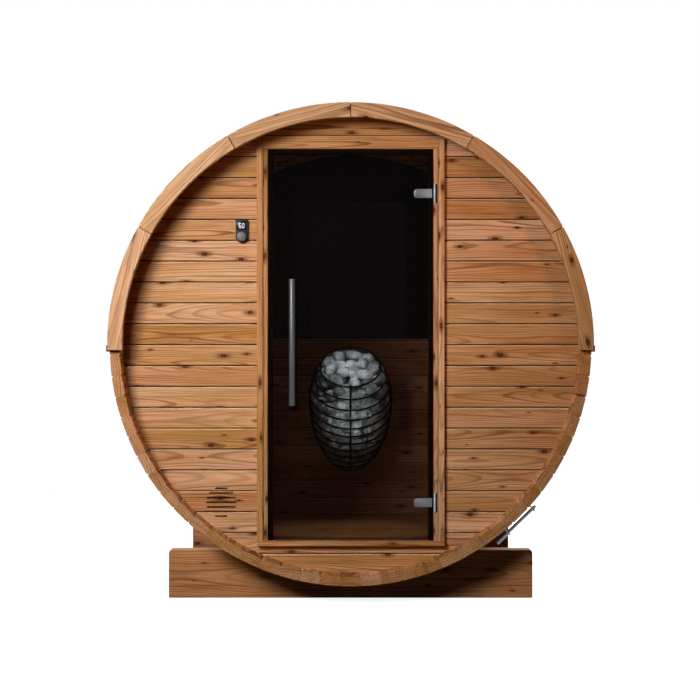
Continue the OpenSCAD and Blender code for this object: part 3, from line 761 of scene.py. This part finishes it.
def groove_cutter(bm, seam, face, way):
    """A bar along X with the section of one V seam. way is the side of the face that is air."""
    corners = [bm.verts.new((-SEAM_LONG / 2, face + way * depth, seam + up))
               for up, depth in SEAM_UPPER + SEAM_LOWER]
    end = bm.faces.new(corners)
    far_end = bmesh.ops.extrude_face_region(bm, geom=[end])["geom"]
    moved = [v for v in far_end if isinstance(v, bmesh.types.BMVert)]
    bmesh.ops.translate(bm, verts=moved, vec=(SEAM_LONG, 0, 0))


def boarded_wall(node, front, back):
    """A copy of a wall with a seam on both faces at each edge of a board."""
    low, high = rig.box(node)
    cutter = bmesh.new()
    for count in range(-11, 12):
        seam = AXIS + count * BOARD
        if low.z + SEAM_CLEAR < seam < high.z - SEAM_CLEAR:
            groove_cutter(cutter, seam, front, -1)
            groove_cutter(cutter, seam, back, 1)
    bm = carved(merged_copy(node), cutter)
    made = piece("boards_" + node, bm, wall_wood, "sauna", "wall_wood", [node])
    print(made.name, len(made.data.polygons), "faces")


for node in ("front_wall_left", "front_wall_right", "front_wall_top", "front_wall_bottom"):
    boarded_wall(node, WALL_FRONT, WALL_FRONT + WALL_REAR - WALL_IN)
boarded_wall("rear_wall", WALL_IN, WALL_REAR)

# %% [markdown]
# The floor is laid of the same kind of boards, crosswise, with a small gap between them. It is
# seen through the door, below the heater. Thin bars are cut out of a copy of it, as for the jambs.

# %% Floor boards
FLOOR_GAP = 0.004
deck_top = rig.box("floor")[1].z
cutter = bmesh.new()
for count in range(-8, 9):
    bar = bmesh.ops.create_cube(cutter, size=1.0)["verts"]
    bmesh.ops.scale(cutter, verts=bar, vec=(2.2, FLOOR_GAP, 0.02))
    bmesh.ops.translate(cutter, verts=bar, vec=(0, count * BOARD, deck_top - 0.004))
bm = carved(merged_copy("floor"), cutter)
deck = piece("boards_floor", bm, floor_wood, "sauna", "floor_wood", ["floor"])
print(deck.name, len(deck.data.polygons), "faces")

# %% [markdown]
# The staves, the fascia, the window's beads and the inner grip keep their CAD shape, which
# already has the tongue, the groove and the chamfers. They only get their finish.


# %% Finish of the CAD timber
def dress(finish, *names):
    """Gives CAD nodes a finish."""
    for name in names:
        for slot in nodes[name].material_slots:
            slot.material = finish
    print(finish.name, "on", len(names), "nodes")


dress(stave_wood, *[n for n in nodes if n.startswith("staves_")])
dress(fascia_wood, *[n for n in nodes if "fascia" in n])
dress(wall_wood, "rear_window_beads")
dress(grip_wood, "door_inner_grip")

# %% [markdown]
# The door is a sheet of brown tinted glass, the window an almost black one. A see-through
# Principled shader with its alpha below 1 is the plainest glass. A ray passes two faces, so each
# face lets through the square root of what the sheet does. Faint smears keep the gloss alive.


# %% Glass
def glass(name, tint, alpha, gloss):
    """A tinted sheet. alpha is what one face keeps back."""
    finish, sheet, shader = start_finish(name, Base_Color=tint, Alpha=alpha,
                                         Specular_IOR_Level=gloss)
    x, y, z = places(sheet)
    smear = sheet.noise(sheet.vector(x * 3, y * 3, z * 1.2), detail=4.0)
    feed(shader, Roughness=0.02 + smear.step(0.4, 0.8) * 0.05)
    return finish


dress(glass("door_glass", screen(9, 6, 5), 0.4, 0.02), "door_glass")
dress(glass("window_glass", screen(10, 10, 11), 0.96, 0.08), "rear_window_glass")

# %% [markdown]
# Brushed steel has fine scratches in one direction, which spread the light across them. Noise
# that is stretched along the bar gives both the streaks in the roughness and a faint relief.
# The knuckle of a hinge gets a painted highlight along its pin and a painted shade at both
# sides of it, from two bands around the pin's place.

# %% Metals
HINGE_X = 0.353
# Widths of the painted shade beside the knuckle and of the painted highlight along it.
KNUCKLE_GAP, KNUCKLE_BRIGHT = (0.011, 0.0115), (0.0038, 0.0046)


def brushed(name, tint, rough, stretch, metallic=1.0, gloss=0.5, pin=None):
    """A metal with streaks. stretch is how close they lie along x, y and z, and pin is the x of
    a hinge, whose knuckle gets a painted highlight between two bands of painted shade."""
    finish, sheet, shader = start_finish(name, Metallic=metallic, Specular_IOR_Level=gloss)
    x, y, z = places(sheet)
    across = sheet.vector(x * stretch[0], y * stretch[1], z * stretch[2])
    streak = sheet.noise(across, detail=4.0)
    cloud = sheet.noise(sheet.vector(x, y, z), scale=14.0)
    shade = [c * 0.72 for c in tint[:3]] + [1.0]
    bump = sheet.node("Bump", None, {"Strength": 0.12, "Distance": 0.0003, "Height": streak})
    colour = sheet.mix(streak.step(0.35, 0.7) * 0.5 + cloud * 0.4, tint, shade)
    if pin:
        # Painted shade at both sides of the knuckle and a painted highlight along it.
        off = abs(x - pin)
        colour = sheet.mix(1 - off.step(*KNUCKLE_GAP), colour, screen(14, 14, 15))
        colour = sheet.mix(1 - off.step(*KNUCKLE_BRIGHT), colour, screen(140, 148, 154))
    feed(shader, Base_Color=colour, Roughness=rough + streak * 0.16 + cloud * 0.06, Normal=bump)
    return finish


handle_steel = brushed("handle_steel", screen(78, 78, 79), 0.28, (900, 900, 12))
hinge_steel = brushed("hinge_steel", screen(84, 85, 86), 0.34, (14, 900, 900), pin=HINGE_X)
hinge_black = brushed("hinge_black", screen(28, 28, 29), 0.4, (900, 900, 14), pin=HINGE_X)
band_steel = brushed("band_steel", screen(122, 125, 128), 0.36, (40, 700, 40))
knob_metal = brushed("knob_metal", screen(84, 81, 76), 0.42, (500, 30, 500))
heater_wire = brushed("heater_wire", screen(9, 9, 10), 0.55, (60, 60, 60), metallic=0.0, gloss=0.12)
drip_metal = brushed("drip_edge", screen(32, 32, 33), 0.5, (30, 4, 30), metallic=0.2)

eased_piece("door_handle", handle_steel, "door", 0.0015)
eased_piece("door_hinge_clamps", hinge_steel, "door", 0.0012)
eased_piece("door_hinge_brackets", hinge_black, "sauna", 0.0006)
eased_piece("control_knob", knob_metal, "knob", 0.0015)
dress(band_steel, "front_tension_band", "rear_tension_band", "front_tensioner", "rear_tensioner")
dress(heater_wire, "heater_rings", "heater_ribs", "heater_bracket")
dress(drip_metal, "roof_drip_edge_left", "roof_drip_edge_right")

# %% [markdown]
# A tube over the rod of each tensioner keeps the thread clean. It is a cylinder with rounded
# ends between the two lugs, turned with the tensioner to the lower right of the barrel.

# %% Tubes of the tensioners
ROD_R, ROD_Y, ROD_TURN = 1.0328, 0.75, math.radians(46)
TUBE_R, TUBE_LEN = 0.0075, 0.137
bm = bmesh.new()
for end_y in (-ROD_Y, ROD_Y):
    spot = Matrix.Translation((0, end_y, AXIS)) @ Matrix.Rotation(ROD_TURN, 4, "Y")
    spot = spot @ Matrix.Translation((ROD_R, 0, 0))
    bmesh.ops.create_cone(bm, cap_ends=True, segments=24, radius1=TUBE_R, radius2=TUBE_R,
                          depth=TUBE_LEN, matrix=spot)
tubes = piece("tensioner_tubes", ease(bm, 0.0012), band_steel, "sauna", "band_steel")
print("tubes", len(tubes.data.polygons), "faces")

# %% [markdown]
# The roof covering is a black membrane. Its surface is matt and a little grainy, with dust in
# broad clouds.

# %% Roof membrane
roof_sheet, sheet, shader = start_finish("roof_sheet", Specular_IOR_Level=0.3)
x, y, z = places(sheet)
grit = sheet.noise(sheet.vector(x, y, z), detail=3.0, scale=420.0)
dust = sheet.noise(sheet.vector(x, y, z), detail=4.0, scale=3.0)
shade = sheet.mix(dust.step(0.4, 0.75) * 0.6, screen(38, 38, 39), screen(62, 61, 60))
shade = sheet.mix(grit * 0.4, shade, screen(24, 24, 25))
bump = sheet.node("Bump", None, {"Strength": 0.4, "Distance": 0.0008, "Height": grit})
feed(shader, Base_Color=shade, Roughness=0.7 + grit * 0.2, Normal=bump)
dress(roof_sheet, "roof_covering")

# %% [markdown]
# Such a membrane comes on a roll that is narrower than the roof is long. So two lengths lie
# over each other in the middle. The lap is a thin strip that is spun around the barrel's axis.

# %% Lap of the roof
ROOF_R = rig.box("roof_covering")[1].z - AXIS
LAP_FROM, LAP_TURN = math.radians(1), math.radians(178)
LAP_HALF, LAP_LOW, LAP_HIGH = 0.04, ROOF_R - 0.001, ROOF_R + 0.002
bm = bmesh.new()
corners = [(LAP_LOW, -LAP_HALF), (LAP_HIGH, -LAP_HALF), (LAP_HIGH, LAP_HALF), (LAP_LOW, LAP_HALF)]
start = Matrix.Translation((0, 0, AXIS)) @ Matrix.Rotation(-LAP_FROM, 4, "Y")
end = bm.faces.new([bm.verts.new(start @ Vector((far, y, 0))) for far, y in corners])
bmesh.ops.spin(bm, geom=[end], cent=(0, 0, AXIS), axis=(0, -1, 0), angle=LAP_TURN, steps=90)
bmesh.ops.recalc_face_normals(bm, faces=bm.faces)
lap = piece("roof_lap", bm, roof_sheet, "sauna", "roof_sheet")
print("lap", len(lap.data.polygons), "faces")

# %% [markdown]
# A row of broad nails holds each edge of the lap. A nail's head is a low cone, turned so that it
# lies on the roof.

# %% Nails of the roof
NAIL_ROW, NAILS, NAIL_UP = 0.025, 45, 0.0024
NAIL_HEAD = {"segments": 10, "radius1": 0.005, "radius2": 0.004, "depth": 0.0014}
flat_on_roof = Matrix.Translation((ROOF_R + NAIL_UP, 0, 0)) @ Matrix.Rotation(math.pi / 2, 4, "Y")
bm = bmesh.new()
for row in (-NAIL_ROW, NAIL_ROW):
    for count in range(NAILS):
        turn = LAP_FROM + LAP_TURN * (count + 0.5) / NAILS
        spot = Matrix.Translation((0, row, AXIS)) @ Matrix.Rotation(-turn, 4, "Y") @ flat_on_roof
        bmesh.ops.create_cone(bm, cap_ends=True, matrix=spot, **NAIL_HEAD)
nail_metal = brushed("nail_metal", screen(112, 114, 116), 0.45, (60, 60, 60))
nails = piece("roof_nails", bm, nail_metal, "sauna", "roof_sheet")
print("nails", len(nails.data.polygons), "faces")

# %% [markdown]
# The heater is filled with split stones the size of a fist. A stone is a rounded lump that a few
# planes have split. Six such stones, turned and stretched at random, fill the basket from its
# wires inwards.

# %% One split stone
SPLITS, STONE_KINDS = 7, 6
random.seed(7)


def split_stone():
    """A mesh of one stone, about 1 across."""
    bm = bmesh.new()
    bmesh.ops.create_icosphere(bm, subdivisions=2, radius=0.52)
    for split in range(SPLITS):
        way = Vector((random.gauss(0, 1), random.gauss(0, 1), random.gauss(0, 1))).normalized()
        everything = bm.verts[:] + bm.edges[:] + bm.faces[:]
        bmesh.ops.bisect_plane(bm, geom=everything, plane_co=way * random.uniform(0.34, 0.48),
                               plane_no=way, clear_outer=True)
        bmesh.ops.holes_fill(bm, edges=[e for e in bm.edges if e.is_boundary])
    bmesh.ops.remove_doubles(bm, verts=bm.verts, dist=0.07)
    bmesh.ops.recalc_face_normals(bm, faces=bm.faces)
    mesh = bpy.data.meshes.new("split_stone")
    bm.to_mesh(mesh)
    bm.free()
    return mesh


stone_shapes = [split_stone() for kind in range(STONE_KINDS)]
print("stones of", [len(m.polygons) for m in stone_shapes], "faces")

# %% [markdown]
# The basket is an egg whose axis leans 40 degrees towards the door. A stone lies flat against
# the inside of the wires, or on the mound at the mouth. So a place is drawn at random on that
# skin, and moved inwards.

# %% Places in the basket
EGG_MIDDLE = Vector((0, 0.385, AXIS - 0.27))
EGG_LEAN = Matrix.Rotation(math.radians(40), 4, "X")
EGG_R, EGG_UP, EGG_DOWN = 0.2, 0.286, 0.457
MOUTH, FOOT, MOUND = 0.199, -0.4, 0.035
WIRE_IN = 0.006
MOUND_SHARE, MOUND_SLOPE = 0.16, 0.3


def skin_radius(height):
    """Inner radius of the basket, or of the mound on it, at a height along its axis."""
    if height > MOUTH:
        return skin_radius(MOUTH) * math.sqrt(max(0, 1 - ((height - MOUTH) / MOUND) ** 2))
    half = EGG_UP if height > 0 else EGG_DOWN
    return EGG_R * math.sqrt(1 - (height / half) ** 2) - WIRE_IN


def skin_place(inset):
    """A random place inside the skin, and the way out of the skin there."""
    if random.random() < MOUND_SHARE:
        radius = skin_radius(MOUTH) * math.sqrt(random.random())
        height = MOUTH + MOUND * math.sqrt(1 - (radius / skin_radius(MOUTH)) ** 2)
        slope = radius / skin_radius(MOUTH) * MOUND_SLOPE
        radius = min(radius, skin_radius(MOUTH) - inset)
    else:
        height = random.uniform(FOOT, MOUTH - 0.02)
        radius = skin_radius(height)
        slope = (skin_radius(height - 0.01) - skin_radius(height + 0.01)) / 0.02
    angle = random.uniform(0, 2 * math.pi)
    way = Vector((math.cos(angle), math.sin(angle), slope)).normalized()
    if height > MOUTH:
        way = Vector((slope * math.cos(angle), slope * math.sin(angle), 1)).normalized()
    spot = Vector((radius * math.cos(angle), radius * math.sin(angle), height))
    return spot - way * inset, way


print("mouth of the basket", round(2 * skin_radius(MOUTH), 3), "m across")

# %% [markdown]
# Dropping stones by simulation would be slow and hard to steer. Instead a drawn place is kept
# only when it is far enough from the ones before, until the skin is full. A second layer, further
# in, closes the gaps.

# %% Heap of stones
SPACING, LAYERS, DRAWS = 0.05, (0.024, 0.062), 9000
heap = bmesh.new()
stone_count = 0
for inset in LAYERS:
    kept = []
    for draw in range(DRAWS):
        spot, way = skin_place(inset)
        if any((spot - other).length < SPACING for other in kept):
            continue
        kept.append(spot)
        stretch = (random.uniform(0.062, 0.084), random.uniform(0.054, 0.066),
                   random.uniform(0.05, 0.058))
        lean = Matrix.Rotation(random.gauss(0, 0.25), 4, "X")
        lean = lean @ Matrix.Rotation(random.uniform(0, 6.28), 4, "Z")
        turn = way.to_track_quat("Z", "Y").to_matrix().to_4x4() @ lean
        before = len(heap.verts)
        heap.from_mesh(random.choice(stone_shapes))
        heap.verts.ensure_lookup_table()
        lump = heap.verts[before:]
        bmesh.ops.scale(heap, verts=lump, vec=stretch)
        bmesh.ops.transform(heap, matrix=Matrix.Translation(spot) @ turn, verts=lump)
    stone_count += len(kept)
place_egg = Matrix.Translation(EGG_MIDDLE) @ EGG_LEAN
bmesh.ops.transform(heap, matrix=place_egg, verts=heap.verts)
print(stone_count, "stones,", len(heap.faces), "faces")

# %% [markdown]
# The stones are a grey-green rock. A coarse noise gives each its own tone, and finer ones a grain
# with lighter specks.

# %% Stone finish
heater_stone, sheet, shader = start_finish("heater_stone", Specular_IOR_Level=0.25)
x, y, z = places(sheet)
spot = sheet.vector(x, y, z)
lump_tone = sheet.noise(spot, detail=1.0, scale=22.0)
grain = sheet.noise(spot, detail=5.0, scale=170.0)
speck = sheet.noise(spot, detail=2.0, scale=900.0)
shade = sheet.mix(lump_tone.step(0.3, 0.7), screen(120, 127, 130), screen(206, 213, 215))
shade = sheet.mix(grain.step(0.4, 0.66) * 0.7, shade, screen(76, 82, 86))
shade = sheet.mix(speck.step(0.62, 0.75) * 0.5, shade, screen(222, 226, 226))
relief = grain + speck * 0.3
bump = sheet.node("Bump", None, {"Strength": 0.6, "Distance": 0.003, "Height": relief})
feed(shader, Base_Color=shade, Roughness=0.8 + grain * 0.15, Normal=bump)
stones = piece("heater_stone_heap", heap, heater_stone, "sauna", "heater_stone",
               ["heater_stones"], smooth=48)
print("stones", [round(v, 3) for v in stones.dimensions])

# %% [markdown]
# The control panel is satin black plastic with a fine grain, moulded with rounded edges.

# %% Control panel
panel_plastic, sheet, shader = start_finish("panel_plastic", Specular_IOR_Level=0.15)
x, y, z = places(sheet)
grain = sheet.noise(sheet.vector(x, y, z), detail=3.0, scale=1400.0)
shade = sheet.mix(grain, screen(24, 26, 27), screen(36, 38, 40))
bump = sheet.node("Bump", None, {"Strength": 0.15, "Distance": 0.0002, "Height": grain})
feed(shader, Base_Color=shade, Roughness=0.42 + grain * 0.12, Normal=bump)
eased_piece("control_panel", panel_plastic, "sauna", 0.003, sharp=50)

# %% [markdown]
# The panel's display lies behind a dark glossy pane. It is a thin plate on the panel's face, over
# the knob.

# %% Pane of the display
PANE_SIZE, PANE_DOWN = (0.038, 0.0012, 0.038), 0.03
pane_gloss, sheet, shader = start_finish("display_pane", Specular_IOR_Level=0.1)
x, y, z = places(sheet)
haze = sheet.noise(sheet.vector(x, y, z), scale=60.0)
shade = sheet.mix(haze, screen(14, 15, 17), screen(22, 23, 26))
feed(shader, Base_Color=shade, Roughness=0.08 + haze * 0.1)

low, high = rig.box("control_panel")
PANE_X, PANE_Z = (low.x + high.x) / 2, high.z - PANE_DOWN
PANEL_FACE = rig.box("control_knob")[1].y + 0.001
bm = bmesh.new()
bmesh.ops.create_cube(bm, size=1.0)
bmesh.ops.scale(bm, verts=bm.verts, vec=PANE_SIZE)
bmesh.ops.translate(bm, verts=bm.verts, vec=(PANE_X, PANEL_FACE, PANE_Z))
piece("display_pane", ease(bm, 0.0005), pane_gloss, "sauna", "panel_plastic")
print("panel face at", round(PANEL_FACE, 4))

# %% [markdown]
# Seven bars make any digit. The letters a to g name them from the top clockwise, with g in the
# middle, as on every such display. The bars are white and glow a little.

# %% Digits
BARS = {"a": (0, 2), "b": (1, 1), "c": (1, -1), "d": (0, -2), "e": (-1, -1), "f": (-1, 1),
        "g": (0, 0)}
UPRIGHT_BAR, LEVEL_BAR = (0.0021, 0.0005, 0.0076), (0.0066, 0.0005, 0.0021)
BAR_SIDE, BAR_RISE, BAR_OUT, DIGIT_SIDE = 0.0038, 0.0048, 0.0007, 0.0064
digit_glow, sheet, shader = start_finish("display_digits", Emission_Strength=0.5)
x, y, z = places(sheet)
haze = sheet.noise(sheet.vector(x, y, z), scale=900.0)
white = sheet.mix(haze, screen(246, 248, 250), screen(226, 230, 234))
feed(shader, Base_Color=white, Emission_Color=white)

bm = bmesh.new()
for offset, lit_bars in ((-DIGIT_SIDE, "acdefg"), (DIGIT_SIDE, "abcdef")):
    for letter in lit_bars:
        right, up = BARS[letter]
        bar = bmesh.ops.create_cube(bm, size=1.0)["verts"]
        bmesh.ops.scale(bm, verts=bar, vec=UPRIGHT_BAR if right else LEVEL_BAR)
        spot = (PANE_X + offset + right * BAR_SIDE, PANEL_FACE - BAR_OUT, PANE_Z + up * BAR_RISE)
        bmesh.ops.translate(bm, verts=bar, vec=spot)
digits = piece("display_digits", bm, digit_glow, "sauna", "panel_plastic")
print("digits", len(digits.data.polygons), "faces")

# %% [markdown]
# The visual model has to stay inside the box of the CAD model, so both boxes are written down
# before the frame helper checks the pieces and applies the pose and the view.

# %% Sizes and end
with open("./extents.json", "w") as out:
    json.dump({"cad": cad_box, "visual": [list(corner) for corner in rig.bounds()]}, out)
print("visual box", [[round(v, 4) for v in corner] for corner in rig.bounds()])
